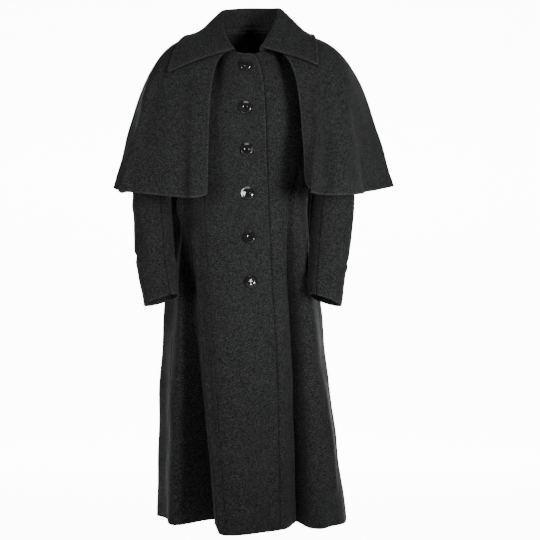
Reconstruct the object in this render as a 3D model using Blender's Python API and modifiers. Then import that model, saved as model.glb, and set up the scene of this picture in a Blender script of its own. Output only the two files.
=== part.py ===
"""A caped wool overcoat in its worn, hollow form. Run with blender --background --python part.py.

Metres, +Z up. The origin is the middle of the neck base, level with the neck points of the shoulder
seams. The coat faces -Y, so +X is the wearer's left. Every angle runs round the body from the centre
front (0) through the wearer's right side (90) and the centre back (180) to the left side (270).
"""

import bmesh
import bpy
import numpy as np
from mathutils import Vector

# Cloth and seams
WALL = 0.003
SEAM_GAP = 0.0004
ARMHOLE_GAP = 0.0011
LAP_CLEARANCE = 0.0008
COLUMN_STEP = 6.0
COLUMN_LEAST = 2.0
CAPE_COLUMN_STEP = 7.8

# How far a curve is kept from swinging past its own points, from 0 (free) to 1 (never)
TURN_LIMIT = 0.85

# Levels of the body, as heights
CHEST_Z = -0.262
WAIST_Z = -0.42
HEM_Z = -1.169
BODICE_SHARES = (0.0, 0.06, 0.15, 0.26, 0.37, 0.48, 0.57, 0.66, 0.75, 0.85, 1.0)
NOTCH_SHARE = 0.48
UNDERARM_SHARE = 0.85
LOWER_LEVELS = (-0.315, -0.368, WAIST_Z, -0.475, -0.54, -0.61, -0.69, -0.775, -0.87, -0.97, -1.07)

# Above the chest: the drop over which the cloth leaves its upper edge, and how far up it stays upright
LEAVING_DROP = 0.12
CHEST_RISE = 0.42

# Sections: centre x, half width, front depth, back depth, and roundness (1 is an ellipse, less is squarer)
CHEST = dict(centre=-0.002, width=0.166, front=0.122, back=0.108, roundness=0.78)
WAIST = dict(centre=-0.015, width=0.148, front=0.124, back=0.098, roundness=0.92)

# Where the body's seams run, in degrees round it
SEAMS = dict(
    right_princess=37.0,
    right_side=90.0,
    right_back_princess=142.0,
    centre_back=180.0,
    left_back_princess=218.0,
    left_side=270.0,
    left_princess=310.0,
)
RIGHT_FRONT_COLUMNS = 12
UNDERLAP_COLUMNS = 7
STRIP_COLUMNS = 5

# The body's upper edge: name, angle on the right half, angle on the left half, x outwards, y, z,
# and the direction in which the cloth leaves the edge, downwards
NECK_TO_UNDERARM = (
    ("centre front neck", 0, 360, 0.000, -0.092, -0.060, 0.000, -0.014, -0.030),
    ("collar end", 9, 350, 0.030, -0.088, -0.057, 0.006, -0.016, -0.026),
    ("side front neck", 16, 342, 0.055, -0.055, -0.028, 0.018, -0.022, -0.018),
    ("neck point", 22, 334, 0.066, 0.000, 0.000, 0.012, -0.040, -0.008),
    ("shoulder princess", 37, 310, 0.125, 0.002, -0.020, 0.000, -0.050, -0.008),
    ("shoulder tip", 56, 298, 0.190, 0.002, -0.043, -0.024, -0.034, -0.008),
    ("front notch", 74, 282, 0.170, -0.044, -0.132, -0.016, -0.010, -0.020),
    ("underarm", 90, 270, 0.168, 0.004, -0.228, -0.004, 0.000, -0.014),
    ("back notch", 106, 254, 0.172, 0.050, -0.130, -0.016, 0.010, -0.020),
    ("shoulder tip, back", 124, 236, 0.190, 0.002, -0.043, -0.024, 0.034, -0.008),
    ("shoulder princess, back", 142, 218, 0.125, 0.002, -0.020, 0.000, 0.050, -0.008),
    ("neck point, back", 158, 202, 0.066, 0.000, 0.000, 0.000, 0.040, -0.006),
    ("back neck", 180, 180, 0.000, 0.062, 0.012, 0.000, 0.030, -0.016),
)
CORNERS = ("neck point", "shoulder tip", "underarm", "shoulder tip, back", "neck point, back")

# Skirt folds: name, angle, x and y at the hem, lift of the hem, growth below the waist (1 is straight,
# less is sooner), and how far the fold is drawn in at the waist
FOLDS = (
    ("centre front", 0, -0.006, -0.238, 0.000, 1.00, 0.000),
    ("right front", 22, -0.036, -0.250, 0.000, 1.00, 0.000),
    ("right front ridge", 54, -0.068, -0.226, 0.000, 1.00, 0.000),
    ("right trough", 64, -0.086, -0.062, 0.011, 0.80, 0.010),
    ("right side front", 73, -0.124, -0.078, 0.006, 0.60, 0.004),
    ("right side front ridge", 82, -0.177, -0.103, 0.000, 0.46, 0.000),
    ("right side valley", 95, -0.200, 0.006, 0.003, 0.46, 0.004),
    ("right side ridge", 106, -0.233, 0.082, 0.000, 0.46, -0.038),
    ("right back valley", 120, -0.172, 0.104, 0.008, 0.65, -0.008),
    ("right back ridge", 133, -0.163, 0.198, 0.000, 0.75, 0.000),
    ("right inner valley", 147, -0.108, 0.143, 0.008, 0.85, 0.006),
    ("right inner ridge", 160, -0.078, 0.232, 0.000, 0.90, 0.000),
    ("centre back valley", 173, -0.030, 0.168, 0.006, 0.95, 0.006),
    ("centre back ridge", 186, 0.008, 0.234, 0.000, 0.95, 0.000),
    ("left inner valley", 199, 0.052, 0.158, 0.008, 0.90, 0.006),
    ("left inner ridge", 212, 0.094, 0.224, 0.000, 0.85, 0.000),
    ("left back valley", 225, 0.127, 0.136, 0.008, 0.75, 0.006),
    ("left back ridge", 238, 0.186, 0.176, 0.000, 0.75, 0.000),
    ("left side valley", 251, 0.190, 0.076, 0.006, 0.90, -0.030),
    ("left side ridge", 263, 0.235, 0.040, 0.000, 1.10, -0.013),
    ("left side", 273, 0.226, -0.060, 0.000, 1.05, 0.000),
    ("left side front valley", 284, 0.192, -0.118, 0.002, 1.00, 0.002),
    ("left side front ridge", 294, 0.166, -0.155, 0.000, 0.95, 0.000),
    ("left side front", 302, 0.128, -0.128, 0.001, 0.90, 0.000),
    ("left trough", 310, 0.110, -0.070, 0.009, 0.80, 0.014),
    ("left front strip", 318, 0.093, -0.142, 0.001, 0.95, 0.001),
    ("placket", 336, 0.066, -0.176, 0.000, 1.00, 0.000),
    ("left of centre front", 349, 0.024, -0.212, 0.000, 1.00, 0.000),
)

# The right front's free edge: height and x, from the rounded neck corner to the hem
PLACKET = (
    (-0.058, 0.004),
    (-0.064, 0.013),
    (-0.080, 0.023),
    (-0.120, 0.032),
    (-0.180, 0.037),
    (-0.260, 0.039),
    (-0.420, 0.045),
    (-0.570, 0.051),
    (-0.750, 0.062),
    (-0.900, 0.066),
    (-1.169, 0.070),
)

# Buttons: height and x of each, down the centre front
BUTTON_PLACES = (
    (-0.0885, -0.009),
    (-0.190, -0.009),
    (-0.288, -0.006),
    (-0.390, -0.004),
    (-0.493, 0.000),
    (-0.596, 0.004),
)
BUTTON_STANDOFF = 0.0009
BUTTON_STEPS = 20
# Half profile of a button: radius and height above its back, from the front's middle round to the back
BUTTON_PROFILE = (
    (0.0, 0.0042),
    (0.0052, 0.0042),
    (0.0072, 0.0060),
    (0.0118, 0.0058),
    (0.0150, 0.0036),
    (0.0152, 0.0020),
    (0.0122, 0.0),
    (0.0, 0.0),
)

# The neckline by the angle round the neck, against the angle on the body, and how level its cloth faces
NECK_FRONT = ((0.0, 14.0, 40.0, 90.0), (0.0, 9.0, 16.0, 22.0))
NECK_BACK = ((90.0, 180.0), (158.0, 180.0))
NECK_FACES_FORWARD = 0.9
NECK_FACES_BACK = 0.47

# Cape: the ring that it falls from, and its hem as name, angle, x, y, z
CAPE_SHOULDER_WIDTH_RIGHT = 0.253
CAPE_SHOULDER_WIDTH_LEFT = 0.262
CAPE_SHOULDER_FRONT = 0.122
CAPE_SHOULDER_BACK = 0.116
CAPE_SHOULDER_Z = -0.002
CAPE_SHOULDER_DIP = 0.064
CAPE_SQUARENESS = 0.62
CAPE_FALL_WIDEN = 0.12
CAPE_FALL_FLUTE = 0.34
CAPE_FALL_DROP = 0.30
CAPE_LEVELS = 13
CAPE_INSIDE_DROP = 0.15
CAPE_CLEARANCE = 0.0009
CAPE_NECK_ROOM = 0.0055
CAPE_HEM = (
    ("right front edge", 21, -0.095, -0.165, -0.395),
    ("right front", 33, -0.129, -0.178, -0.404),
    ("right trough", 44, -0.166, -0.165, -0.401),
    ("right front flare", 58, -0.235, -0.145, -0.393),
    ("right ridge", 72, -0.300, -0.104, -0.385),
    ("right return", 80, -0.286, -0.050, -0.388),
    ("right side", 88, -0.298, -0.004, -0.384),
    ("right tip", 96, -0.334, 0.050, -0.371),
    ("right back flute", 113, -0.280, 0.130, -0.376),
    ("right back valley", 129, -0.205, 0.132, -0.384),
    ("right inner flute", 146, -0.140, 0.192, -0.386),
    ("right inner valley", 163, -0.062, 0.160, -0.390),
    ("centre back flute", 180, 0.000, 0.196, -0.390),
    ("left inner valley", 197, 0.064, 0.160, -0.390),
    ("left inner flute", 214, 0.142, 0.190, -0.386),
    ("left back valley", 231, 0.208, 0.132, -0.382),
    ("left back flute", 247, 0.286, 0.122, -0.372),
    ("left tip", 264, 0.350, 0.028, -0.367),
    ("left side", 273, 0.304, -0.010, -0.378),
    ("left trough", 283, 0.279, -0.052, -0.386),
    ("left ridge", 297, 0.243, -0.150, -0.395),
    ("left front valley", 312, 0.172, -0.176, -0.397),
    ("left flute", 325, 0.137, -0.216, -0.390),
    ("left front edge", 335, 0.1265, -0.200, -0.384),
)
CAPE_SEAMS = (96.0, 264.0)

# Sleeves below the armhole: name, height, x and half width of the right sleeve, the same of the left,
# y, half depth, and how much the outer and the front side drop below the middle
SLEEVE_RINGS = (
    ("cap", -0.168, 0.200, 0.028, 0.200, 0.028, 0.003, 0.051, -0.078, 0.0),
    ("below the cap", -0.208, 0.217, 0.035, 0.213, 0.034, 0.004, 0.054, -0.062, 0.0),
    ("upper arm", -0.254, 0.229, 0.040, 0.222, 0.042, 0.004, 0.054, -0.044, 0.0),
    ("above the elbow", -0.312, 0.234, 0.045, 0.214, 0.049, 0.004, 0.053, -0.018, 0.0),
    ("elbow", -0.388, 0.236, 0.046, 0.199, 0.050, -0.004, 0.051, 0.000, 0.0),
    ("below the elbow", -0.465, 0.229, 0.048, 0.191, 0.051, -0.032, 0.050, 0.004, 0.0),
    ("forearm", -0.530, 0.225, 0.050, 0.186, 0.048, -0.060, 0.049, 0.006, 0.0),
    ("wrist", -0.590, 0.214, 0.047, 0.178, 0.046, -0.087, 0.046, 0.010, -0.004),
    ("cuff", -0.640, 0.206, 0.043, 0.176, 0.040, -0.108, 0.043, 0.013, -0.008),
)
# Steps from the shoulder's tip to each sleeve seam, and the ring from which the columns are even
SLEEVE_SEAM_STEPS = 6
SLEEVE_EVEN_RING = 4
# How far the sleeve folds back from the body's cloth at the underarm, and the angle where that begins
SLEEVE_FOLD = 135.0
SLEEVE_FOLD_FROM = 15.0
# How far apart the points lie that a side panel's normals are taken from, as a share of its width
PATCH_STEP = 0.01

# Collar: name, angle round the neck, and x, y, z of its roll and of its outer edge
COLLAR = (
    ("right front end", 16, -0.034, -0.0985, -0.0500, -0.192, -0.108, -0.106),
    ("right lapel", 28, -0.050, -0.086, -0.030, -0.187, -0.090, -0.082),
    ("right front", 42, -0.056, -0.070, -0.008, -0.173, -0.066, -0.056),
    ("right neck side", 90, -0.064, 0.003, 0.055, -0.144, 0.012, -0.022),
    ("right back side", 135, -0.047, 0.053, 0.068, -0.104, 0.104, -0.018),
    ("centre back", 180, 0.000, 0.068, 0.073, 0.000, 0.140, -0.014),
    ("left back side", 225, 0.048, 0.053, 0.070, 0.110, 0.104, -0.012),
    ("left neck side", 270, 0.068, 0.003, 0.062, 0.148, 0.012, -0.015),
    ("left front", 318, 0.050, -0.066, 0.004, 0.157, -0.066, -0.042),
    ("left lapel", 334, 0.036, -0.086, -0.022, 0.160, -0.092, -0.068),
    ("left front end", 349, 0.0235, -0.0985, -0.0450, 0.161, -0.110, -0.093),
)
COLLAR_COLUMNS = 33
COLLAR_STAND_ROWS = 3
COLLAR_LEAF_ROWS = 6
COLLAR_ROLL_WIDTH = 0.005
COLLAR_FIRST_SHARE = 0.05
COLLAR_BULGE = 0.003
COLLAR_CLEARANCE = 0.0021
COLLAR_LIFT = 0.0046
COLLAR_NEAR = 0.02

# Colours, linear, and roughness
WOOL_COLOUR = (0.028, 0.028, 0.030, 1.0)
WOOL_ROUGHNESS = 0.9
BUTTON_COLOUR = (0.006, 0.006, 0.007, 1.0)
BUTTON_ROUGHNESS = 0.12


def clear_scene():
    for item in list(bpy.data.objects):
        bpy.data.objects.remove(item)


def finish_material(name, colour, roughness):
    """The Principled material of that name, made once."""
    found = bpy.data.materials.get(name)
    if found:
        return found
    made = bpy.data.materials.new(name)
    made.use_nodes = True
    shader = made.node_tree.nodes["Principled BSDF"]
    shader.inputs["Base Color"].default_value = colour
    shader.inputs["Roughness"].default_value = roughness
    return made


def curve_through(knots, values, at, period=None):
    """Cubic Hermite curve through values at the knots, read at the places in at, closed if it has a period."""
    knots = np.asarray(knots, float)
    values = np.asarray(values, float).reshape(len(knots), -1)
    at = np.atleast_1d(np.asarray(at, float))
    if period:
        at = knots[0] + np.mod(at - knots[0], period)
        knots = np.concatenate([knots[-1:] - period, knots, knots[:2] + period])
        values = np.concatenate([values[-1:], values, values[:2]])
    secants = np.diff(values, axis=0) / np.diff(knots)[:, None]
    slopes = np.concatenate([secants[:1], 0.5 * (secants[:-1] + secants[1:]), secants[-1:]])
    product = secants[:-1] * secants[1:]
    total = secants[:-1] + secants[1:]
    even = np.where(product > 0, 2 * product / np.where(total == 0, 1.0, total), 0.0)
    slopes[1:-1] += (even - slopes[1:-1]) * TURN_LIMIT
    span = np.clip(np.searchsorted(knots, at, side="right") - 1, 0, len(knots) - 2)
    width = (knots[span + 1] - knots[span])[:, None]
    t = (at[:, None] - knots[span][:, None]) / width
    t2 = t * t
    t3 = t2 * t
    return (
        (2 * t3 - 3 * t2 + 1) * values[span]
        + (t3 - 2 * t2 + t) * width * slopes[span]
        + (3 * t2 - 2 * t3) * values[span + 1]
        + (t3 - t2) * width * slopes[span + 1]
    )


def section(shape, angles):
    """Points (x, y) of a level section at these angles."""
    turn = np.radians(angles)
    across = np.sign(np.sin(turn)) * np.abs(np.sin(turn)) ** shape["roundness"]
    ahead = np.sign(np.cos(turn)) * np.abs(np.cos(turn)) ** shape["roundness"]
    depth = np.where(ahead > 0, shape["front"], shape["back"])
    return np.stack([shape["centre"] - shape["width"] * across, -depth * ahead], axis=1)


def upper_edge(angles):
    """Points of the body's upper edge at these angles, and the way the cloth leaves it."""
    angles = np.mod(np.asarray(angles, float), 360.0)
    found = np.zeros((len(angles), 6))
    names = [row[0] for row in NECK_TO_UNDERARM]
    breaks = [0, *[names.index(corner) for corner in CORNERS], len(names) - 1]
    for side, column in ((-1.0, 1), (1.0, 2)):
        for first, last in zip(breaks[:-1], breaks[1:]):
            rows = NECK_TO_UNDERARM[first : last + 1]
            knots = np.array([row[column] for row in rows], float)
            values = np.array([row[3:] for row in rows], float)
            values[:, 0] *= side
            values[:, 3] *= side
            if knots[0] > knots[-1]:
                knots = knots[::-1]
                values = values[::-1]
            inside = (angles >= knots[0]) & (angles <= knots[-1])
            if inside.any():
                found[inside] = curve_through(knots, values, angles[inside])
    return found[:, :3], found[:, 3:]


def chest_row(angles):
    """Points of the body at the chest, the lowest row that its upper edge shapes."""
    return np.column_stack([section(CHEST, angles), np.full(len(angles), CHEST_Z)])


def bodice_row(share, angles):
    """One row above the chest, this share of the way down from the upper edge."""
    top, leaving = upper_edge(angles)
    foot = chest_row(angles)
    drop = top[:, 2:] - CHEST_Z
    near = top + leaving * np.minimum(1.0, drop / LEAVING_DROP)
    far = foot + drop * np.array([0.0, 0.0, CHEST_RISE])
    left = 1 - share
    return left**3 * top + 3 * share * left**2 * near + 3 * share**2 * left * far + share**3 * foot


def body_row(level, angles):
    """One row of the body's outer surface. Level counts down from the upper edge."""
    angles = np.asarray(angles, float)
    if level < len(BODICE_SHARES):
        return bodice_row(BODICE_SHARES[level], angles)
    chest = section(CHEST, angles)
    table = curve_through([row[1] for row in FOLDS], [row[2:] for row in FOLDS], angles, 360.0)
    waist = section(WAIST, angles)
    drawn = table[:, 4:5]
    waist = waist * (1 - drawn / np.linalg.norm(waist, axis=1, keepdims=True))
    step = level - len(BODICE_SHARES)
    bottom = HEM_Z + table[:, 2]
    if step >= len(LOWER_LEVELS):
        return np.column_stack([table[:, :2], bottom])
    height = LOWER_LEVELS[step]
    if height >= WAIST_Z:
        share = (CHEST_Z - height) / (CHEST_Z - WAIST_Z)
        ease = share * share * (3 - 2 * share)
        return np.column_stack([chest + (waist - chest) * ease, np.full(len(angles), height)])
    share = (WAIST_Z - height) / (WAIST_Z - HEM_Z)
    growth = table[:, 3:4]
    grown = np.where(growth < 1, 1 - (1 - share) ** (1 / growth), share**growth)
    heights = WAIST_Z + (bottom - WAIST_Z) * share
    return np.column_stack([waist + (table[:, :2] - waist) * grown, heights])


BODY_LEVELS = len(BODICE_SHARES) + len(LOWER_LEVELS) + 1


def panel_angles(first, last):
    """Angles of a panel's columns: its seams, the folds and corners between them, and steps in between."""
    stops = {first, last}
    stops |= {row[1] for row in FOLDS if first < row[1] < last}
    for row in NECK_TO_UNDERARM:
        stops |= {angle for angle in row[1:3] if first < angle < last}
    stops = sorted(stops)
    kept = [stops[0]]
    for stop in stops[1:]:
        if stop - kept[-1] < COLUMN_LEAST and stop != last:
            continue
        if stop == last and stop - kept[-1] < COLUMN_LEAST and len(kept) > 1:
            kept.pop()
        pieces = max(1, round((stop - kept[-1]) / COLUMN_STEP))
        kept += list(np.linspace(kept[-1], stop, pieces + 1)[1:])
    return np.array(kept)


def normals_of(grid, inside):
    """Unit normals of a grid of points that point away from the line of points inside, one for each row."""
    along = np.gradient(grid, axis=1)
    down = np.gradient(grid, axis=0)
    found = np.cross(along, down)
    found /= np.maximum(np.linalg.norm(found, axis=2, keepdims=True), 1e-12)
    outward = grid - np.asarray(inside)[:, None, :]
    sign = np.sign((found * outward).sum())
    return found * sign


def wall_mesh(name, outer, inner):
    """A closed wall between two grids of points."""
    rows, columns = outer.shape[:2]
    mesh = bpy.data.meshes.new(name)
    shape = bmesh.new()
    skins = [[[shape.verts.new(point) for point in row] for row in skin] for skin in (outer, inner)]
    for skin in skins:
        for i in range(rows - 1):
            for j in range(columns - 1):
                shape.faces.new((skin[i][j], skin[i][j + 1], skin[i + 1][j + 1], skin[i + 1][j]))
    rim = [(0, j) for j in range(columns)]
    rim += [(i, columns - 1) for i in range(1, rows)]
    rim += [(rows - 1, j) for j in range(columns - 2, -1, -1)]
    rim += [(i, 0) for i in range(rows - 2, 0, -1)]
    for (a, b), (c, d) in map(sorted, zip(rim, rim[1:] + rim[:1])):
        shape.faces.new((skins[0][a][b], skins[0][c][d], skins[1][c][d]))
        shape.faces.new((skins[0][a][b], skins[1][c][d], skins[1][a][b]))
    bmesh.ops.recalc_face_normals(shape, faces=shape.faces)
    shape.to_mesh(mesh)
    shape.free()
    return mesh


def add_object(name, mesh, material, collection):
    made = bpy.data.objects.new(name, mesh)
    made.data.materials.append(material)
    made.data.shade_smooth()
    made.data.set_sharp_from_angle(angle=np.radians(50))
    collection.objects.link(made)
    return made


def parted(outer, inner, sides):
    """The two grids with their seam columns or rows drawn back by half the seam's gap."""
    outer = outer.copy()
    inner = inner.copy()
    for side in sides:
        edge, beside = {
            "first": (np.s_[:, 0], np.s_[:, 1]),
            "last": (np.s_[:, -1], np.s_[:, -2]),
            "top": (np.s_[0], np.s_[1]),
        }[side]
        way = outer[beside] - outer[edge]
        way /= np.maximum(np.linalg.norm(way, axis=-1, keepdims=True), 1e-12)
        outer[edge] += way * SEAM_GAP / 2
        inner[edge] += way * SEAM_GAP / 2
    return outer, inner


class Body:
    """The body's whole outer surface, which its panels are cut from."""

    def __init__(self):
        stops = [SEAMS[name] for name in SEAMS]
        bands = [panel_angles(a, b) for a, b in zip(stops[:-1], stops[1:])]
        self.bands = bands
        self.placket = self.placket_angles()
        shares = np.linspace(0, 1, RIGHT_FRONT_COLUMNS + 1)
        self.right_front = self.rows_between(self.placket, np.full(BODY_LEVELS, stops[0] + 360.0), shares)
        self.left_front = self.left_front_angles()

    def rows_between(self, start, end, shares):
        return start[:, None] + (end - start)[:, None] * shares[None, :]

    def placket_angles(self):
        """The angle of the right front's free edge at each row, found from its x."""
        tried = np.linspace(322.0, 384.0, 125)
        heights = [row[0] for row in PLACKET][::-1]
        places = [row[1] for row in PLACKET][::-1]
        found = []
        for level in range(BODY_LEVELS):
            row = body_row(level, tried)
            off = row[:, 0] - np.interp(row[:, 2], heights, places)
            found.append(np.interp(0.0, -off, tried))
        return np.array(found)

    def left_front_angles(self):
        """From the princess seam over the visible strip, and on under the right front's own columns."""
        seam = np.full(BODY_LEVELS, SEAMS["left_princess"])
        strip = self.rows_between(seam, self.placket, np.linspace(0, 1, STRIP_COLUMNS + 1))
        return np.hstack([strip, self.right_front[:, 1 : UNDERLAP_COLUMNS + 1]])


def grid_at(angle_rows):
    return np.array([body_row(level, angle_rows[level]) for level in range(BODY_LEVELS)])


def panel_corners(name):
    """Angles of a side panel's princess seam, shoulder tip, armhole notch and side seam."""
    rows = {row[0]: row for row in NECK_TO_UNDERARM}
    column = 1 if name.startswith("right") else 2
    if name.endswith("front"):
        stops = ("shoulder princess", "shoulder tip", "front notch", "underarm")
    else:
        stops = ("shoulder princess, back", "shoulder tip, back", "back notch", "underarm")
    return [float(rows[stop][column]) for stop in stops]


def side_patch(corners, across, shares):
    """Points of a side panel above the chest: across runs from its princess seam (0) to its armhole (1),
    and shares down from the shoulder seam. They fill in between the panel's four edges."""
    princess, tip, notch, side = corners
    top = upper_edge(princess + across * (tip - princess))[0]
    bottom = chest_row(princess + across * (side - princess))
    near = np.array([bodice_row(share, np.array([princess]))[0] for share in shares])
    far = upper_edge(np.interp(shares, (0.0, NOTCH_SHARE, UNDERARM_SHARE), (tip, notch, side)))[0]
    under = np.clip((shares - UNDERARM_SHARE) / (1 - UNDERARM_SHARE), 0.0, 1.0)[:, None]
    foot = chest_row(np.array([princess, side]))
    far = far + (foot[1] - far) * under
    head = upper_edge(np.array([princess, tip]))[0]
    u = across[None, :, None]
    v = shares[:, None, None]
    edges = (1 - v) * top[None] + v * bottom[None] + (1 - u) * near[:, None] + u * far[:, None]
    ends = (1 - u) * ((1 - v) * head[0] + v * foot[0]) + u * ((1 - v) * head[1] + v * foot[1])
    return edges - ends


def side_normals(corners, across, shares):
    """Normals of side_patch. Along its seams they are the ones that the next panel has."""
    left, right = np.maximum(across - PATCH_STEP, 0.0), np.minimum(across + PATCH_STEP, 1.0)
    above, below = np.maximum(shares - PATCH_STEP, 0.0), np.minimum(shares + PATCH_STEP, 1.0)
    along = side_patch(corners, right, shares) - side_patch(corners, left, shares)
    down = side_patch(corners, across, below) - side_patch(corners, across, above)
    found = np.cross(along, down)
    outward = side_patch(corners, across, shares) - np.array([0.0, 0.0, CHEST_Z])
    found *= np.sign((found * outward).sum())
    found[shares == 0.0, :, 1] = 0.0
    found /= np.linalg.norm(found, axis=2, keepdims=True)
    princess, side = corners[0], corners[-1]
    level = len(BODICE_SHARES) - 1
    found[np.ix_(shares >= UNDERARM_SHARE, across == 1.0)] = surface_normals(np.tile([[side]], (BODY_LEVELS, 1)))[level]
    if (across == 0.0).any() and len(shares) == len(BODICE_SHARES):
        found[:, 0] = surface_normals(np.tile([[princess]], (BODY_LEVELS, 1)))[: len(shares), 0]
    return found


def armhole(side):
    """Points round an armhole from the shoulder's tip forwards, points just within the body's cloth, its
    normals, and the angle of each point round the sleeve."""
    label = "right" if side < 0 else "left"
    shares = np.array([share for share in BODICE_SHARES if share <= UNDERARM_SHARE])
    turn = np.interp(shares, (0.0, NOTCH_SHARE, UNDERARM_SHARE), (0.0, 90.0, 180.0))
    halves = []
    for half in ("front", "back"):
        corners = panel_corners(f"{label}_side_{half}")
        edge = side_patch(corners, np.array([1.0]), shares)[:, 0]
        within = side_patch(corners, np.array([1 - PATCH_STEP]), shares + PATCH_STEP)[:, 0]
        normals = side_normals(corners, np.array([1.0]), shares)[:, 0]
        halves.append((edge, within, normals, turn if half == "front" else 360.0 - turn))
    return [np.concatenate([front, back[-2:0:-1]]) for front, back in zip(*halves)]


def on_shoulder_seam(angles):
    angles = np.mod(angles, 360.0)
    found = np.zeros(len(angles), bool)
    for column in (1, 2):
        places = {row[0]: row[column] for row in NECK_TO_UNDERARM}
        for first, last in (("neck point", "shoulder tip"), ("neck point, back", "shoulder tip, back")):
            low, high = sorted((places[first], places[last]))
            found |= (angles >= low) & (angles <= high)
    return found


def surface_normals(angle_rows):
    """Normals of the body's surface, taken the same way for every panel so that seams stay parallel."""
    step = 1.0
    found = []
    for level in range(BODY_LEVELS):
        angles = angle_rows[level]
        along = body_row(level, angles - step) - body_row(level, angles + step)
        above = body_row(max(level - 1, 0), angles)
        below = body_row(min(level + 1, BODY_LEVELS - 1), angles)
        normal = np.cross(along, above - below)
        normal /= np.maximum(np.linalg.norm(normal, axis=1, keepdims=True), 1e-12)
        if level == 0:
            normal[on_shoulder_seam(angles), 1] = 0.0
            normal /= np.linalg.norm(normal, axis=1, keepdims=True)
        found.append(normal)
    return np.array(found)


def build_body(collection, wool):
    body = Body()
    names = ("right_side_front", "right_side_back", "right_back", "left_back", "left_side_back", "left_side_front")
    shares = np.array(BODICE_SHARES)
    for name, angles in zip(names, body.bands):
        rows = np.tile(angles, (BODY_LEVELS, 1))
        outer = grid_at(rows)
        normals = surface_normals(rows)
        if "side" in name:
            corners = panel_corners(name)
            across = (angles - corners[0]) / (corners[-1] - corners[0])
            turned = np.s_[:, ::-1] if across[0] > across[-1] else np.s_[:, :]
            top = len(shares)
            outer[:top] = side_patch(corners, np.sort(across), shares)[turned]
            normals[: top - 1] = side_normals(corners, np.sort(across), shares)[turned][:-1]
        inner = outer - WALL * normals
        outer, inner = parted(outer, inner, ("first", "last", "top"))
        add_object(name, wall_mesh(name, outer, inner), wool, collection)
    rows = body.right_front
    outer = grid_at(rows)
    inner = outer - WALL * surface_normals(rows)
    outer, inner = parted(outer, inner, ("last", "top"))
    add_object("right_front", wall_mesh("right_front", outer, inner), wool, collection)
    rows = body.left_front
    normals = surface_normals(rows)
    spread = (body.placket[:, None] - rows) / (body.placket[:, None] - SEAMS["left_princess"])
    away = np.clip(spread, 0.0, 1.0)
    sunk = (WALL + LAP_CLEARANCE) * (1 - away * away * (3 - 2 * away))
    outer = grid_at(rows) - normals * sunk[:, :, None]
    inner = outer - WALL * normals
    outer, inner = parted(outer, inner, ("first", "top"))
    add_object("left_front", wall_mesh("left_front", outer, inner), wool, collection)


def neckline(angles):
    """The neckline and the way its cloth faces, by the angle round the neck."""
    angles = np.mod(angles, 360.0)
    near = np.where(angles > 180.0, 360.0 - angles, angles)
    side = np.where(angles > 180.0, 1.0, -1.0)[:, None] * np.array([1.0, 0.0, 0.0]) + np.array([0.0, 1.0, 1.0])
    on_body = np.where(near <= 90.0, np.interp(near, *NECK_FRONT), np.interp(near, *NECK_BACK))
    level_share = np.where(near <= 90.0, NECK_FACES_FORWARD, NECK_FACES_BACK) * np.cos(np.radians(near)) ** 2
    turn = np.radians(near)
    facing = np.stack(
        [level_share * np.sin(turn), -level_share * np.cos(turn), np.sqrt(1 - level_share**2)], axis=1
    )
    right = upper_edge(on_body)[0]
    right[:, 0] = np.abs(right[:, 0])
    return right * side, facing * side


def cape_grid(angles, levels=CAPE_LEVELS):
    turn = np.radians(angles)
    rim, facing = neckline(angles)
    level_out = np.stack([-np.sin(turn), -np.cos(turn), 0 * turn], axis=1)
    neck = rim + facing * (WALL + CAPE_CLEARANCE) + level_out * facing[:, 2:] * CAPE_NECK_ROOM
    depth = np.where(np.cos(turn) > 0, CAPE_SHOULDER_FRONT, CAPE_SHOULDER_BACK)
    width = np.where(np.sin(turn) > 0, CAPE_SHOULDER_WIDTH_RIGHT, CAPE_SHOULDER_WIDTH_LEFT)
    squareness = CAPE_SQUARENESS + (1 - CAPE_SQUARENESS) * np.cos(turn) ** 2
    ring = np.stack(
        [
            -width * np.sign(np.sin(turn)) * np.abs(np.sin(turn)) ** squareness,
            -depth * np.sign(np.cos(turn)) * np.abs(np.cos(turn)) ** CAPE_SQUARENESS,
            CAPE_SHOULDER_Z - CAPE_SHOULDER_DIP * np.cos(turn) ** 2,
        ],
        axis=1,
    )
    hem = curve_through([row[1] for row in CAPE_HEM], [row[2:] for row in CAPE_HEM], angles)
    share = np.array([CAPE_FALL_WIDEN, CAPE_FALL_FLUTE, CAPE_FALL_DROP])
    fall = ring + (hem - ring) * share
    rows = []
    for t in np.linspace(0, 1, levels):
        rows.append(
            (1 - t) ** 3 * neck + 3 * t * (1 - t) ** 2 * ring + 3 * t * t * (1 - t) * fall + t**3 * hem
        )
    return np.array(rows)


def cape_columns(first, last):
    stops = sorted({first, last} | {row[1] for row in CAPE_HEM if first < row[1] < last})
    kept = [stops[0]]
    for stop in stops[1:]:
        pieces = max(1, round((stop - kept[-1]) / CAPE_COLUMN_STEP))
        kept += list(np.linspace(kept[-1], stop, pieces + 1)[1:])
    return np.array(kept)


def build_cape(collection, wool):
    edges = (CAPE_HEM[0][1], *CAPE_SEAMS, CAPE_HEM[-1][1])
    names = ("cape_right_front", "cape_back", "cape_left_front")
    bands = [cape_columns(a, b) for a, b in zip(edges[:-1], edges[1:])]
    columns = np.concatenate([bands[0], bands[1][1:], bands[2][1:]])
    whole = cape_grid(columns)
    line = np.array([(0.0, 0.0, row[:, 2].min() - CAPE_INSIDE_DROP) for row in whole])
    inside = whole - WALL * normals_of(whole, line)
    start = 0
    for name, band in zip(names, bands):
        stop = start + len(band)
        sides = [side for side, used in (("first", start > 0), ("last", stop < len(columns))) if used]
        outer, inner = parted(whole[:, start:stop], inside[:, start:stop], sides)
        add_object(name, wall_mesh(name, outer, inner), wool, collection)
        start = stop - 1


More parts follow.
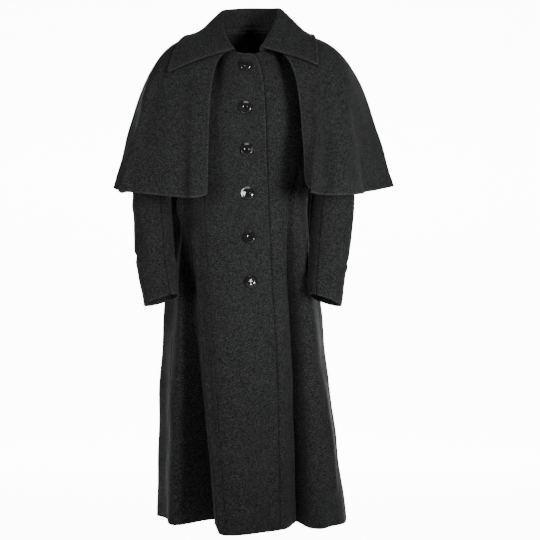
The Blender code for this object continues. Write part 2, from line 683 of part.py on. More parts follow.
def sleeve_grid(side):
    """Outer points of a sleeve, and its inner points. Side is -1 for the wearer's right."""
    edge, below, normals, turn = [np.roll(part, SLEEVE_SEAM_STEPS, axis=0) for part in armhole(side)]
    columns = len(turn)
    even = np.mod(360.0 / columns * (np.arange(columns) - SLEEVE_SEAM_STEPS), 360.0)
    along = np.roll(edge, -1, axis=0) - np.roll(edge, 1, axis=0)
    away = np.cross(along, normals)
    away /= np.linalg.norm(away, axis=1, keepdims=True)
    away *= np.sign((away * (edge - below)).sum(axis=1, keepdims=True))
    start_outer = edge + away * ARMHOLE_GAP
    under = np.clip((np.minimum(turn, 360.0 - turn) - SLEEVE_FOLD_FROM) / (180.0 - SLEEVE_FOLD_FROM), 0.0, 1.0)
    fold = np.radians(SLEEVE_FOLD * under)[:, None]
    start_inner = start_outer - WALL * (np.cos(fold) * normals - np.sin(fold) * away)
    column = 2 if side < 0 else 4
    rings = []
    for number, ring in enumerate(SLEEVE_RINGS):
        angle = np.radians(turn + (even - turn) * min(1.0, number / SLEEVE_EVEN_RING))
        height, middle_y, depth, drop_out, drop_front = ring[1], ring[6], ring[7], ring[8], ring[9]
        middle_x, half = ring[column], ring[column + 1]
        rings.append(
            np.stack(
                [
                    side * (middle_x + half * np.cos(angle)),
                    middle_y - depth * np.sin(angle),
                    height - drop_out * np.cos(angle) - drop_front * np.sin(angle),
                ],
                axis=1,
            )
        )
    knots = np.arange(len(rings) + 1)
    stacked = np.array([start_outer, *rings])
    finer = np.concatenate([[0.0, 0.5], np.arange(1, len(rings) + 1)])
    flat = curve_through(knots, stacked.reshape(len(stacked), -1), finer)
    outer = flat.reshape(len(finer), columns, 3)
    wrapped = np.concatenate([outer[:, -1:], outer, outer[:, :1]], axis=1)
    line = wrapped.mean(axis=1)
    inner = outer - WALL * normals_of(wrapped, line)[:, 1:-1]
    inner[0] = start_inner
    return outer, inner


def build_sleeves(collection, wool):
    split = 2 * SLEEVE_SEAM_STEPS
    for side, label in ((-1.0, "right"), (1.0, "left")):
        outer, inner = sleeve_grid(side)
        outer = np.concatenate([outer, outer[:, :1]], axis=1)
        inner = np.concatenate([inner, inner[:, :1]], axis=1)
        for name, part in (("upper_sleeve", np.s_[:, : split + 1]), ("under_sleeve", np.s_[:, split:])):
            shell = parted(outer[part], inner[part], ("first", "last"))
            title = f"{label}_{name}"
            add_object(title, wall_mesh(title, *shell), wool, collection)


def build_collar(collection, wool):
    table = np.array([row[1:] for row in COLLAR], float)
    angles = np.linspace(table[0, 0], table[-1, 0], COLLAR_COLUMNS)
    found = curve_through(table[:, 0], table[:, 1:], angles)
    roll, edge = found[:, :3], found[:, 3:]
    rim, facing = neckline(angles)
    seam = rim - facing * np.array([WALL, WALL, 0.0]) + np.array([0.0, 0.0, COLLAR_CLEARANCE])
    turn = np.radians(angles)
    out = np.stack([-np.sin(turn), -np.cos(turn), 0 * turn], axis=1)
    rows = [seam + (roll - seam) * share for share in np.linspace(0, 1, COLLAR_STAND_ROWS + 1)]
    over = roll + out * COLLAR_ROLL_WIDTH
    cape = cape_grid(np.linspace(CAPE_HEM[0][1], CAPE_HEM[-1][1], 160), 30)
    line = np.array([(0.0, 0.0, row[:, 2].min() - CAPE_INSIDE_DROP) for row in cape])
    cape = cape.reshape(-1, 3), normals_of(cape, line).reshape(-1, 3)
    for share in np.linspace(COLLAR_FIRST_SHARE, 1, COLLAR_LEAF_ROWS):
        row = over + (edge - over) * share
        row[:, 2] += COLLAR_BULGE * np.sin(np.pi * share)
        rows.append(lifted_over(row, *cape))
    outer = np.array(rows)
    along = np.gradient(outer, axis=1)
    down = np.gradient(outer, axis=0)
    normals = np.cross(along, down)
    normals /= np.linalg.norm(normals, axis=2, keepdims=True)
    normals *= np.sign(normals[-2, :, 2].sum())
    normals[0, :, 2] = 0.0
    normals[0] /= np.linalg.norm(normals[0], axis=1, keepdims=True)
    add_object("collar", wall_mesh("collar", outer, outer - WALL * normals), wool, collection)


def lifted_over(points, below, facing):
    """The points, moved out where they would come closer than a wall and a gap to the cloth below them."""
    away = np.linalg.norm(points[:, None, :] - below[None, :, :], axis=2)
    nearest = away.argmin(axis=1)
    clear = ((points - below[nearest]) * facing[nearest]).sum(axis=1)
    short = np.where(away.min(axis=1) < COLLAR_NEAR, np.maximum(COLLAR_LIFT - clear, 0.0), 0.0)
    return points + facing[nearest] * short[:, None]


def build_buttons(collection, material):
    profile = bpy.data.meshes.new("button")
    shape = bmesh.new()
    points = [shape.verts.new((radius, 0.0, height)) for radius, height in BUTTON_PROFILE]
    for first, second in zip(points[:-1], points[1:]):
        shape.edges.new((first, second))
    shape.to_mesh(profile)
    shape.free()
    tried = np.linspace(330.0, 390.0, 121)
    for number, (height, across) in enumerate(BUTTON_PLACES, 1):
        line = []
        angles = []
        for level in range(BODY_LEVELS):
            row = body_row(level, tried)
            angles.append(np.interp(across, row[::-1, 0], tried[::-1]))
            line.append(body_row(level, angles[-1:])[0])
        line = np.array(line)
        facings = surface_normals(np.array(angles)[:, None])[:, 0]
        y = np.interp(-height, -line[:, 2], line[:, 1])
        facing = np.array([np.interp(-height, -line[:, 2], facings[:, axis]) for axis in range(3)])
        facing = Vector(facing).normalized()
        made = add_object(f"button_{number}", profile.copy(), material, collection)
        turned = made.modifiers.new("turned", "SCREW")
        turned.steps = BUTTON_STEPS
        turned.render_steps = BUTTON_STEPS
        turned.use_merge_vertices = True
        turned.merge_threshold = 0.00001
        made.location = Vector((across, y, height)) + facing * BUTTON_STANDOFF
        made.rotation_euler = facing.to_track_quat("Z", "Y").to_euler()


def main():
    clear_scene()
    collection = bpy.data.collections.new("caped wool overcoat")
    bpy.context.scene.collection.children.link(collection)
    wool = finish_material("charcoal wool", WOOL_COLOUR, WOOL_ROUGHNESS)
    gloss = finish_material("black button", BUTTON_COLOUR, BUTTON_ROUGHNESS)
    build_body(collection, wool)
    build_sleeves(collection, wool)
    build_cape(collection, wool)
    build_collar(collection, wool)
    build_buttons(collection, gloss)


main()
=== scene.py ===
"""Caped wool overcoat, worn and hollow: its cloth, seams, stitching, buttons and a plain white studio.

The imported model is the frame. Each of its solids is replaced here by a fine piece that fills the same
space. Metres, +Z up. The origin is the middle of the neck base, the coat faces -Y, and +X is the
wearer's left.
"""

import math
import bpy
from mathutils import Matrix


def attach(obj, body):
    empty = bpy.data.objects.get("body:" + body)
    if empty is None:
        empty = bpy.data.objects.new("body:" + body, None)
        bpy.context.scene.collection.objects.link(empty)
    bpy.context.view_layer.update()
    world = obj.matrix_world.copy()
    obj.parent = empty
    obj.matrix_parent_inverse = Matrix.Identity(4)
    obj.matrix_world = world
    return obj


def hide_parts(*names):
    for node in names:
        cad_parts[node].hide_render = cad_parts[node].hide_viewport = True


bl_info = {
    "name": "Caped Wool Overcoat",
    "version": (1, 0, 0),
    "blender": (4, 5, 0),
    "location": "3D View > Sidebar > Overcoat",
    "description": "Builds a caped wool overcoat from its packed solids, with a plain studio",
    "category": "Object",
}

import bmesh
import bpy
import numpy as np
from mathutils import Matrix, Vector, kdtree

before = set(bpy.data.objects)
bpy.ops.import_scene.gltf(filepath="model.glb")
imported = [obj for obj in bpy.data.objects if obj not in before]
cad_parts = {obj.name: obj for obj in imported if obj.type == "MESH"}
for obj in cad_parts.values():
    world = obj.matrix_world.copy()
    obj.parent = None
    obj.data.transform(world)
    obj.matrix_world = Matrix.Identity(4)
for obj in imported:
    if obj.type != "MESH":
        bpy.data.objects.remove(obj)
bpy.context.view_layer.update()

# Cloth of each group: its solid, subdivision levels, cut width, cut length, cut area, what it hangs from
CLOTH = {
    "body": (
        ("right_front", 3, 0.17, 1.24, 0.181, ("right_back", "right_side_front")),
        ("left_front", 3, 0.24, 1.25, 0.225, ("left_back", "left_side_front")),
        ("right_side_front", 3, 0.36, 1.20, 0.223, ("right_front", "right_side_back")),
        ("left_side_front", 3, 0.25, 1.19, 0.157, ("left_front", "left_side_back")),
        ("right_side_back", 2, 0.36, 1.20, 0.239, ("right_side_front", "right_back")),
        ("left_side_back", 2, 0.36, 1.20, 0.217, ("left_side_front", "left_back")),
        ("right_back", 2, 0.25, 1.25, 0.180, ("right_front", "left_back")),
        ("left_back", 2, 0.24, 1.25, 0.176, ("left_front", "right_back")),
    ),
    "sleeves": (
        ("right_upper_sleeve", 3, 0.23, 0.66, 0.118, ("right_front", "right_back")),
        ("left_upper_sleeve", 3, 0.23, 0.66, 0.116, ("left_front", "left_back")),
        ("right_under_sleeve", 2, 0.13, 0.54, 0.049, ("right_side_front", "right_side_back")),
        ("left_under_sleeve", 2, 0.13, 0.54, 0.049, ("left_side_front", "left_side_back")),
    ),
    "cape": (
        ("cape_right_front", 3, 0.40, 0.46, 0.130, ("right_front", "right_upper_sleeve")),
        ("cape_left_front", 3, 0.37, 0.46, 0.120, ("left_front", "left_upper_sleeve")),
        ("cape_back", 2, 0.86, 0.46, 0.276, ("right_back", "left_back")),
    ),
    "collar": (("collar", 3, 0.82, 0.17, 0.095, ("cape_back", "cape_right_front", "cape_left_front")),),
}

# How each group is held, and how uneven its cloth is: the waves' length and mean height
HELD = {
    "body": ("hung", 0.11, 0.0010),
    "sleeves": ("hung", 0.07, 0.0009),
    "cape": ("draped", 0.09, 0.0010),
    "collar": ("folded", 0.05, 0.0003),
}

# The waves of all groups: seed and number, share of each axis in their heading, spread of their
# lengths, and the heights where hanging cloth starts to be uneven and is fully so
WAVE_SEED = 7
WAVE_COUNT = 14
WAVE_HEADING = (1.0, 1.0, 0.6)
WAVE_SPREAD = (0.6, 1.8)
CALM_ABOVE_Z = -0.05
FULL_BELOW_Z = -0.20

# Middle line of a sleeve: number of rings and points of each, what is left out at the cuff and at
# the top, and the degree of the curve through the rings' middles
ARM_RINGS = 14
ARM_RING_POINTS = 60
ARM_CUFF = 0.05
ARM_TOP = 0.06
ARM_CURVE_DEGREE = 3
LEAST_RADIUS = 0.001

# Folds seen from the front, by the wearer's sides: name, x and z of the points that each runs through,
# half width, height at its start and at its end
FOLDS = {
    "body": (
        (
            "right front ridge",
            (-0.131, -0.128, -0.118, -0.1, -0.08, -0.068),
            (-0.476, -0.588, -0.702, -0.857, -1.034, -1.155),
            0.014,
            0.004,
            0.012,
        ),
        (
            "right front trough",
            (-0.153, -0.153, -0.144, -0.127, -0.109, -0.097),
            (-0.499, -0.588, -0.702, -0.859, -1.036, -1.158),
            0.018,
            -0.006,
            -0.02,
        ),
        (
            "right side ridge",
            (-0.191, -0.187, -0.183, -0.186, -0.182),
            (-0.724, -0.844, -0.962, -1.059, -1.174),
            0.02,
            0.004,
            0.008,
        ),
        ("right side fullness", (-0.174, -0.171), (-0.357, -0.427), 0.034, 0.013, 0.012),
        (
            "left trough",
            (0.099, 0.094, 0.0935, 0.1, 0.108, 0.116, 0.12),
            (-0.396, -0.476, -0.569, -0.662, -0.802, -0.958, -1.157),
            0.009,
            -0.005,
            -0.018,
        ),
        (
            "left front edge ridge",
            (0.086, 0.095, 0.1, 0.104),
            (-0.662, -0.802, -0.958, -1.157),
            0.009,
            0.001,
            0.006,
        ),
        (
            "left ridge",
            (0.127, 0.127, 0.139, 0.156, 0.181, 0.191),
            (-0.405, -0.569, -0.639, -0.796, -0.959, -1.083),
            0.022,
            0.004,
            0.014,
        ),
    ),
    "sleeves": (
        ("right upper arm ridge", (-0.267, -0.251, -0.229), (-0.415, -0.469, -0.514), 0.02, 0.006, 0.005),
        ("right elbow crease", (-0.275, -0.246, -0.213), (-0.536, -0.55, -0.552), 0.011, -0.005, -0.001),
        (
            "right inner elbow crease",
            (-0.17, -0.198, -0.231),
            (-0.541, -0.56, -0.574),
            0.012,
            -0.004,
            -0.001,
        ),
        ("left arm ridge", (0.238, 0.232, 0.226), (-0.398, -0.486, -0.56), 0.016, 0.006, 0.005),
        ("left elbow crease", (0.133, 0.162, 0.195), (-0.564, -0.574, -0.569), 0.011, -0.005, -0.001),
        ("left outer elbow crease", (0.235, 0.214, 0.19), (-0.55, -0.564, -0.569), 0.01, -0.004, -0.001),
    ),
    "cape": (
        (
            "right ridge",
            (-0.206, -0.219, -0.239, -0.252, -0.268, -0.288),
            (-0.089, -0.112, -0.177, -0.232, -0.294, -0.389),
            0.011,
            0.004,
            0.018,
        ),
        ("right trough", (-0.157, -0.16, -0.164), (-0.112, -0.223, -0.389), 0.034, -0.004, -0.014),
        (
            "left front ridge",
            (0.147, 0.154, 0.153, 0.147, 0.138, 0.132),
            (-0.098, -0.151, -0.232, -0.28, -0.315, -0.387),
            0.01,
            0.004,
            0.02,
        ),
        ("left front trough", (0.177, 0.184, 0.18), (-0.13, -0.246, -0.384), 0.02, -0.005, -0.016),
        ("left ridge", (0.215, 0.22, 0.227), (-0.175, -0.267, -0.383), 0.018, 0.002, 0.009),
        (
            "left trough",
            (0.237, 0.253, 0.273, 0.283),
            (-0.14, -0.219, -0.313, -0.38),
            0.02,
            -0.003,
            -0.014,
        ),
    ),
    "collar": (),
}
FOLDS_IN_FRONT_OF_Y = 0.08

# Coarse mesh of a solid: how near its loose corners lie, how bent or skewed two joined triangles may
# be, and up to which bend the fine mesh is smooth
WELD_REACH = 0.00001
QUAD_ANGLE = math.radians(70)
SMOOTH_ANGLE = math.radians(50)

# Cut edges of the cloth: how sharp they are at least, how thick the wall is beside them at most, how
# crisp their corners stay, and the least value of a point's mark that is on the edge
CUT_EDGE_ANGLE = math.radians(60)
THIN_FACE = 0.0046
CORNER_CRISPNESS = 0.8
CORNER_EDGES = 3
ON_EDGE = 0.999
OFF_SEAM = 0.5
AT_EDGE = 0.000001

# Seams: how far apart their two edges may lie, what the collar meets, how far the distance from them
# is measured, and how deep and how wide the cloth sinks there
SEAM_REACH = 0.0013
COLLAR_SEAM_REACH = 0.006
COLLAR_MEETS = ("right_front", "left_front", "right_back", "left_back")
GROOVE_REACH = 0.03
SEAM_SINK = 0.0006
SEAM_SINK_WIDTH = 0.004

# Shade along the lap on the left front: gap under the lap, how far in the cloth is hidden by it, and
# how much wider than at a seam the shade is at these two depths below the neck
LAP_CLEARANCE = 0.0008
LAP_REACH = 0.008
LAP_SHADE_DEPTHS = (0.40, 0.80)
LAP_SHADE_WIDTHS = (4.5, 8.5)

# Shade under the collar's edge on the cape: gap under it, and how much wider than at a seam it is
COLLAR_CLEARANCE = 0.0015
COLLAR_SHADE_WIDTH = 4.0

# Painted highlight along the body's turned edges: it is gone below this height, within this run, by this
# much distance
EDGE_HIGHLIGHT_FADES_Z = -0.33
EDGE_HIGHLIGHT_FADE_RUN = 0.1
EDGE_HIGHLIGHT_FADE = 0.004

# Topstitching of the collar: distance from its edge, how deep and wide the cloth sinks there and how
# full it is beside it, stitch length, gap, thread radius, sides and rings of a stitch, its radius at
# the ends as a share, how far its ends dip in, the shortest run that is sewn, and how far a point
# has to face out or up to be on the outer side
STITCH_INSET = 0.009
STITCH_SINK = 0.0013
STITCH_SINK_WIDTH = 0.0024
EDGE_PUFF = 0.0010
STITCH_LENGTH = 0.0028
STITCH_GAP = 0.0010
THREAD_RADIUS = 0.00028
THREAD_SIDES = 6
STITCH_RINGS = 5
STITCH_END_SHARE = 0.5
STITCH_DIP = -0.9
STITCH_LEAST_RUN = 0.05
STITCH_FACING = 0.2
THREAD_SMOOTH_ANGLE = math.radians(60)

# Buttons: steps round, radius and height from the back over the rim to the hollow of the face, place
# of the four holes, steps round a hole, and height that the carved flats are measured from
BUTTON_STEPS = 72
BUTTON_PROFILE = (
    (0.0122, 0.0),
    (0.0146, 0.0010),
    (0.0152, 0.0022),
    (0.0150, 0.0032),
    (0.0143, 0.0043),
    (0.0132, 0.0053),
    (0.0118, 0.0059),
    (0.0064, 0.0060),
    (0.0056, 0.0050),
    (0.0046, 0.0046),
)
HOLE_PLACE = 0.0017
HOLE_STEPS = 20
HOLE_CUTTER_SHARE = 3
CARVED_TOP = 0.0061
BUTTON_SMOOTH_ANGLE = math.radians(24)

# Flats of each button from the top down: heading in degrees, distance from the middle, slope
CARVING = (
    ((84, 0.0050, 0.69), (180, 0.0085, 0.34), (0, 0.0100, 0.40), (268, 0.0095, 0.45)),
    ((180, 0.0060, 0.35), (86, 0.0098, 0.60), (0, 0.0110, 0.32), (300, 0.0098, 0.40)),
    ((160, 0.0078, 0.34), (12, 0.0064, 0.33), (262, 0.0085, 0.50), (95, 0.0100, 0.60)),
    ((180, 0.0048, 0.35), (0, 0.0096, 0.50), (90, 0.0100, 0.66), (235, 0.0098, 0.33)),
    ((200, 0.0046, 0.34), (20, 0.0080, 0.34), (112, 0.0092, 0.60), (300, 0.0095, 0.50)),
    ((290, 0.0062, 0.45), (22, 0.0066, 0.34), (160, 0.0084, 0.34), (225, 0.0080, 0.45)),
)

# Thread loops of a button: radius and steps of a loop, its height over the button's back, how much
# taller than wide it is, and the distance between the three loops of a pair of holes
BUTTON_THREAD_RADIUS = 0.00030
LOOP_STEPS = 32
LOOP_Z = 0.0022
LOOP_STRETCH = 1.65
LOOP_SPACING = 0.0005

# Shader values of each material
WOOL_FINISH = {"Roughness": 0.95, "Specular IOR Level": 0.12, "Sheen Weight": 0.06, "Sheen Roughness": 0.40}
RESIN_FINISH = {"Roughness": 0.10, "Specular IOR Level": 1.0, "Coat Weight": 1.0, "Coat Roughness": 0.05}
THREAD_FINISH = {"Roughness": 0.6}
PAPER_FINISH = {"Roughness": 0.9}

# Noises of the wool: scale, detail, roughness, distortion
FIBRE_NOISE = (1800.0, 2.0, 0.6, 0.8)
GRAIN_NOISE = (640.0, 2.0, 0.6, 0.0)
CLOUD_NOISE = (22.0, 3.0, 0.6, 0.0)
BEND_NOISE = (900.0, 1.0, 0.5, 0.0)
BEND_SIZE = (0.0016, 0.0016, 0.0016)
TUFT_SCALE = 700.0

# Share of light fibres that each layer adds, and of painted highlight that the edge layer adds along
# turned edges: its low and high value, the share at both
GRAIN_SHARE = (0.38, 0.64, 0.0, 0.14)
FIBRE_SHARE = (0.35, 0.70, 0.0, 0.16)
FLECK_SHARE = (0.25, 1.0, 0.0, 0.36)
CLOUD_SHARE = (0.30, 0.70, -0.015, 0.015)
EDGE_HIGHLIGHT_SHARE = (0.0010, 0.0036, 0.15, 0.0)

# Painted shade of a groove and height of its sides by the distance from the seam, which also carry the
# painted shadow under the lap and the collar's edge, height of the fibres by their noise, and the
# strength and depth of both reliefs
DARKEST_SHADE = -0.0008
GROOVE_SHADE = (DARKEST_SHADE, 0.0013, 0.0, 1.0)
GROOVE_HEIGHT = (0.0, 0.0030, 0.0, 1.0)
GROOVE_RELIEF = {"Strength": 1.0, "Distance": 0.0012}
FIBRE_HEIGHT = (0.2, 0.8, 0.0, 0.5)
NAP_RELIEF = {"Strength": 0.35, "Distance": 0.0008}

# Lights: name, place, width, height, share of the key light's power, spread in degrees
LIGHTS = (
    ("Key Light", (1.9, -2.7, -0.35), 0.9, 1.2, 1.0, 36),
    ("Fill Light", (-2.2, -2.4, -0.35), 1.0, 1.5, 0.40, 36),
    ("Top Light", (0.3, -1.0, 1.9), 1.2, 1.2, 0.5, 120),
)
LIGHTS_AIM_SIDE = 0.08
LIGHTS_AIM_Z = -0.45
WORLD_COLOUR = (1.0, 1.0, 1.0, 1.0)
WORLD_LIGHT = 0.12

# Camera: place, focal length and sensor width in millimetres
CAMERA_PLACE = (0.048, -4.2, -0.569)
CAMERA_LENS = 116.67
CAMERA_SENSOR = 36.0

# Stage: floor height, how far behind the coat the backdrop stands, radius and steps of its sweep, its
# rise above it and half its width, and where its painted glow starts, is full and ends at the sides
FLOOR_Z = -1.52
STAGE_BACK = 6.0
STAGE_SWEEP = 1.5
STAGE_STEPS = 12
STAGE_RISE = 2.6
STAGE_HALF_WIDTH = 6.5
GLOW_FROM_Y = 1.5
GLOW_FULL_Y = 1.95
GLOW_REACH_X = (2.0, 2.6)


def linear(hexadecimal):
    """Linear RGBA of an sRGB hex colour."""
    parts = [int(hexadecimal[i : i + 2], 16) / 255 for i in (1, 3, 5)]
    return [c / 12.92 if c <= 0.04045 else ((c + 0.055) / 1.055) ** 2.4 for c in parts] + [1.0]


class OvercoatCloth(bpy.types.PropertyGroup):
    """Settings of the wool and its thread"""

    dark_fibre: bpy.props.FloatVectorProperty(
        name="Dark Fibres",
        description="Colour of the dark fibres of the wool",
        subtype="COLOR",
        size=4,
        min=0.0,
        max=1.0,
        default=linear("#080909"),
    )
    light_fibre: bpy.props.FloatVectorProperty(
        name="Light Fibres",
        description="Colour of the light fibres mixed into the wool",
        subtype="COLOR",
        size=4,
        min=0.0,
        max=1.0,
        default=linear("#565757"),
    )
    unevenness: bpy.props.FloatProperty(
        name="Unevenness",
        description="How uneven the hanging cloth is, as a share of its usual unevenness",
        default=1.0,
        min=0.0,
        max=2.0,
    )
    edge_crispness: bpy.props.FloatProperty(
        name="Edge Crispness",
        description="How crisp the turned edges stay, from 0 to 1",
        subtype="FACTOR",
        default=0.5,
        min=0.0,
        max=1.0,
    )
    thread_colour: bpy.props.FloatVectorProperty(
        name="Thread",
        description="Colour of the topstitching and of the buttons' thread",
        subtype="COLOR",
        size=4,
        min=0.0,
        max=1.0,
        default=linear("#1c1c1e"),
    )


class OvercoatButtons(bpy.types.PropertyGroup):
    """Settings of the buttons"""

    colour: bpy.props.FloatVectorProperty(
        name="Buttons",
        description="Colour of the polished buttons",
        subtype="COLOR",
        size=4,
        min=0.0,
        max=1.0,
        default=linear("#0b0c0c"),
    )
    hole_radius: bpy.props.FloatProperty(
        name="Hole Radius",
        description="Radius of each of a button's four holes",
        unit="LENGTH",
        default=0.0011,
        min=0.0005,
        max=0.002,
    )


class OvercoatStage(bpy.types.PropertyGroup):
    """Settings of the studio"""

    paper_colour: bpy.props.FloatVectorProperty(
        name="Paper",
        description="Colour of the floor and backdrop",
        subtype="COLOR",
        size=4,
        min=0.0,
        max=1.0,
        default=linear("#fbfcfc"),
    )
    # The backdrop's light is painted light: the paper glows by itself, in place of lamps that would light
    # it
    paper_glow: bpy.props.FloatProperty(
        name="Backdrop Light",
        description="How brightly the backdrop is lit from behind",
        default=11.0,
        min=0.0,
    )
    key_power: bpy.props.FloatProperty(
        name="Key Light",
        description="Power of the main light",
        unit="POWER",
        default=5.4,
        min=0.0,
    )


def select_only(piece):
    """Makes this the one selected and active object."""
    bpy.ops.object.select_all(action="DESELECT")
    piece.select_set(True)
    bpy.context.view_layer.objects.active = piece


def smooth(piece, angle):
    """Shades a piece smooth up to this bend."""
    select_only(piece)
    bpy.ops.object.shade_smooth_by_angle(angle=angle)


def fill_inputs(tree, node, inputs):
    """Sets a node's inputs to these values, or links these outputs to them."""
    for name, value in inputs.items():
        if isinstance(value, bpy.types.NodeSocket):
            tree.links.new(value, node.inputs[name])
        else:
            node.inputs[name].default_value = value


def add_node(tree, kind, label, inputs, **settings):
    """A new node with these settings, and these values or links at its inputs."""
    node = tree.nodes.new(kind)
    node.label = label
    for name, value in settings.items():
        setattr(node, name, value)
    fill_inputs(tree, node, inputs)
    return node


def new_material(name, inputs):
    """A new material, its node tree and its shader with these input values."""
    material = bpy.data.materials.new(name)
    material.use_nodes = True
    tree = material.node_tree
    shader = tree.nodes["Principled BSDF"]
    fill_inputs(tree, shader, inputs)
    return material, tree, shader


def plain_material(name, colour, finish):
    """The material of this name, made with one colour if it isn't there yet."""
    found = bpy.data.materials.get(name)
    return found or new_material(name, {"Base Color": colour, **finish})[0]


def object_place(tree):
    """The place on the object that is being shaded."""
    return add_node(tree, "ShaderNodeTexCoord", "Place", {}).outputs["Object"]


def noise(tree, place, label, scale, detail, roughness, distortion):
    """The outputs of a noise texture."""
    inputs = {"Vector": place, "Scale": scale, "Detail": detail, "Roughness": roughness}
    return add_node(tree, "ShaderNodeTexNoise", label, {**inputs, "Distortion": distortion}).outputs


def layer_value(tree, label, name):
    """The value of a mesh's own attribute."""
    return add_node(tree, "ShaderNodeAttribute", label, {}, attribute_name=name).outputs["Fac"]


def ramp(tree, value, label, low, high, out_low, out_high):
    """A value mapped smoothly from one range to another, and held outside it."""
    inputs = {"Value": value, "From Min": low, "From Max": high, "To Min": out_low, "To Max": out_high}
    return add_node(tree, "ShaderNodeMapRange", label, inputs, interpolation_type="SMOOTHSTEP").outputs[0]


def combine(tree, label, operation, first, second, kind="ShaderNodeMath"):
    """The result of a maths node on two values."""
    return add_node(tree, kind, label, {0: first, 1: second}, operation=operation).outputs[0]


def mix(tree, label, factor, first, second, **settings):
    """Two colours mixed by a factor."""
    inputs = {"Factor": factor, "A": first, "B": second}
    return add_node(tree, "ShaderNodeMix", label, inputs, data_type="RGBA", **settings).outputs["Result"]


def relief(tree, label, height, size, **inputs):
    """A surface direction bent by a height, over another direction where one is given."""
    return add_node(tree, "ShaderNodeBump", label, {"Height": height, **size, **inputs}).outputs["Normal"]


def wool_material():
    """Charcoal wool with lighter fibres mixed in, a short brushed nap, grooves at its seams, painted shade
    and edge highlights.
    """
    found = bpy.data.materials.get("charcoal_wool")
    if found:
        return found
    cloth = bpy.context.scene.overcoat_cloth
    material, tree, shader = new_material("charcoal_wool", WOOL_FINISH)
    place = object_place(tree)
    fibre = noise(tree, place, "Fibres", *FIBRE_NOISE)["Fac"]
    grain = noise(tree, place, "Grain", *GRAIN_NOISE)["Fac"]
    cloud = noise(tree, place, "Clouds", *CLOUD_NOISE)["Fac"]
    warp = noise(tree, place, "Fibre Bends", *BEND_NOISE)["Color"]
    bends = combine(tree, "Bend Size", "MULTIPLY", warp, BEND_SIZE, "ShaderNodeVectorMath")
    bent = combine(tree, "Bent Place", "ADD", place, bends, "ShaderNodeVectorMath")
    tuft = add_node(tree, "ShaderNodeTexVoronoi", "Tufts", {"Vector": bent, "Scale": TUFT_SCALE})
    values = add_node(tree, "ShaderNodeSeparateColor", "Tuft Values", {"Color": tuft.outputs["Color"]})
    edge = layer_value(tree, "Turned Edge", "turned_edge")
    groove_and_shade = layer_value(tree, "Groove", "groove_and_shade")

    share = ramp(tree, grain, "Grain Share", *GRAIN_SHARE)
    layers = (
        ("Fibre", fibre, FIBRE_SHARE),
        ("Fleck", values.outputs[0], FLECK_SHARE),
        ("Cloud", cloud, CLOUD_SHARE),
        # The edge layer is a painted highlight: the wool is lighter within a few millimetres of a turned
        # edge
        ("Edge", edge, EDGE_HIGHLIGHT_SHARE),
    )
    for label, value, shares in layers:
        share = combine(tree, f"With {label}s", "ADD", share, ramp(tree, value, f"{label} Share", *shares))
    colour = mix(tree, "Wool Colour", share, cloth.dark_fibre, cloth.light_fibre)
    depth = ramp(tree, groove_and_shade, "Groove Shade", *GROOVE_SHADE)
    shaded = mix(tree, "Shaded Grooves", 1.0, colour, depth, blend_type="MULTIPLY")
    fibre_height = ramp(tree, fibre, "Fibre Height", *FIBRE_HEIGHT)
    nap = relief(tree, "Nap", combine(tree, "Nap Height", "ADD", fibre_height, grain), NAP_RELIEF)
    roll = ramp(tree, groove_and_shade, "Groove Height", *GROOVE_HEIGHT)
    seam = relief(tree, "Seam Groove", roll, GROOVE_RELIEF, Normal=nap)
    fill_inputs(tree, shader, {"Base Color": shaded, "Normal": seam})
    return material


def mesh_points(piece):
    """A mesh's vertices as rows of coordinates."""
    points = np.empty(len(piece.data.vertices) * 3)
    piece.data.vertices.foreach_get("co", points)
    return points.reshape(-1, 3)


def mesh_normals(piece):
    """The directions of a mesh's vertices as rows."""
    normals = np.empty(len(piece.data.vertices) * 3)
    piece.data.vertex_normals.foreach_get("vector", normals)
    return normals.reshape(-1, 3)


def value_layer(piece, name):
    """The values of a mesh's own attribute, one a vertex."""
    values = np.empty(len(piece.data.vertices))
    piece.data.attributes[name].data.foreach_get("value", values)
    return values


def set_value_layer(piece, name, values):
    """Stores one value a vertex in an attribute of the mesh, which is made if it isn't there."""
    layer = piece.data.attributes.get(name) or piece.data.attributes.new(name, "FLOAT", "POINT")
    layer.data.foreach_set("value", np.asarray(values, float))


def tree_of(points):
    """A search tree of these points, or none without points."""
    if not len(points):
        return None
    tree = kdtree.KDTree(len(points))
    for i, point in enumerate(points):
        tree.insert(point, i)
    tree.balance()
    return tree


def distances(tree, points, reach):
    """Distance of each point from the nearest one in a tree, and no more than this reach."""
    if not tree:
        return np.full(len(points), reach)
    return np.array([min(reach, tree.find(point)[2]) for point in points])


def coarse_copy(node):
    """A copy of a solid with its loose triangles joined, mostly into four-sided faces."""
    piece = bpy.data.objects.new(node + "_cloth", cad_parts[node].data.copy())
    bpy.context.scene.collection.objects.link(piece)
    select_only(piece)
    bpy.ops.object.mode_set(mode="EDIT")
    bpy.ops.mesh.select_all(action="SELECT")
    bpy.ops.mesh.remove_doubles(threshold=WELD_REACH)
    bpy.ops.mesh.tris_convert_to_quads(face_threshold=QUAD_ANGLE, shape_threshold=QUAD_ANGLE)
    bpy.ops.object.mode_set(mode="OBJECT")
    return piece


def is_cut_edge(edge, at_seam):
    """Tells whether an edge of the coarse mesh bounds the cloth, and isn't the crest of a fold."""
    if len(edge.link_faces) != 2 or edge.calc_face_angle(0.0) < CUT_EDGE_ANGLE:
        return False
    if all(at_seam[vert.index] for vert in edge.verts):
        return True
    return min(side.calc_length() for face in edge.link_faces for side in face.edges) < THIN_FACE


def is_corner(vert, edges, at_seam):
    """Tells whether a vertex is a corner of the cloth, at a seam's end or between two cut edges."""
    if at_seam[vert.index]:
        return len(edges.intersection(vert.link_edges)) >= CORNER_EDGES
    return edges.issuperset(vert.link_edges)


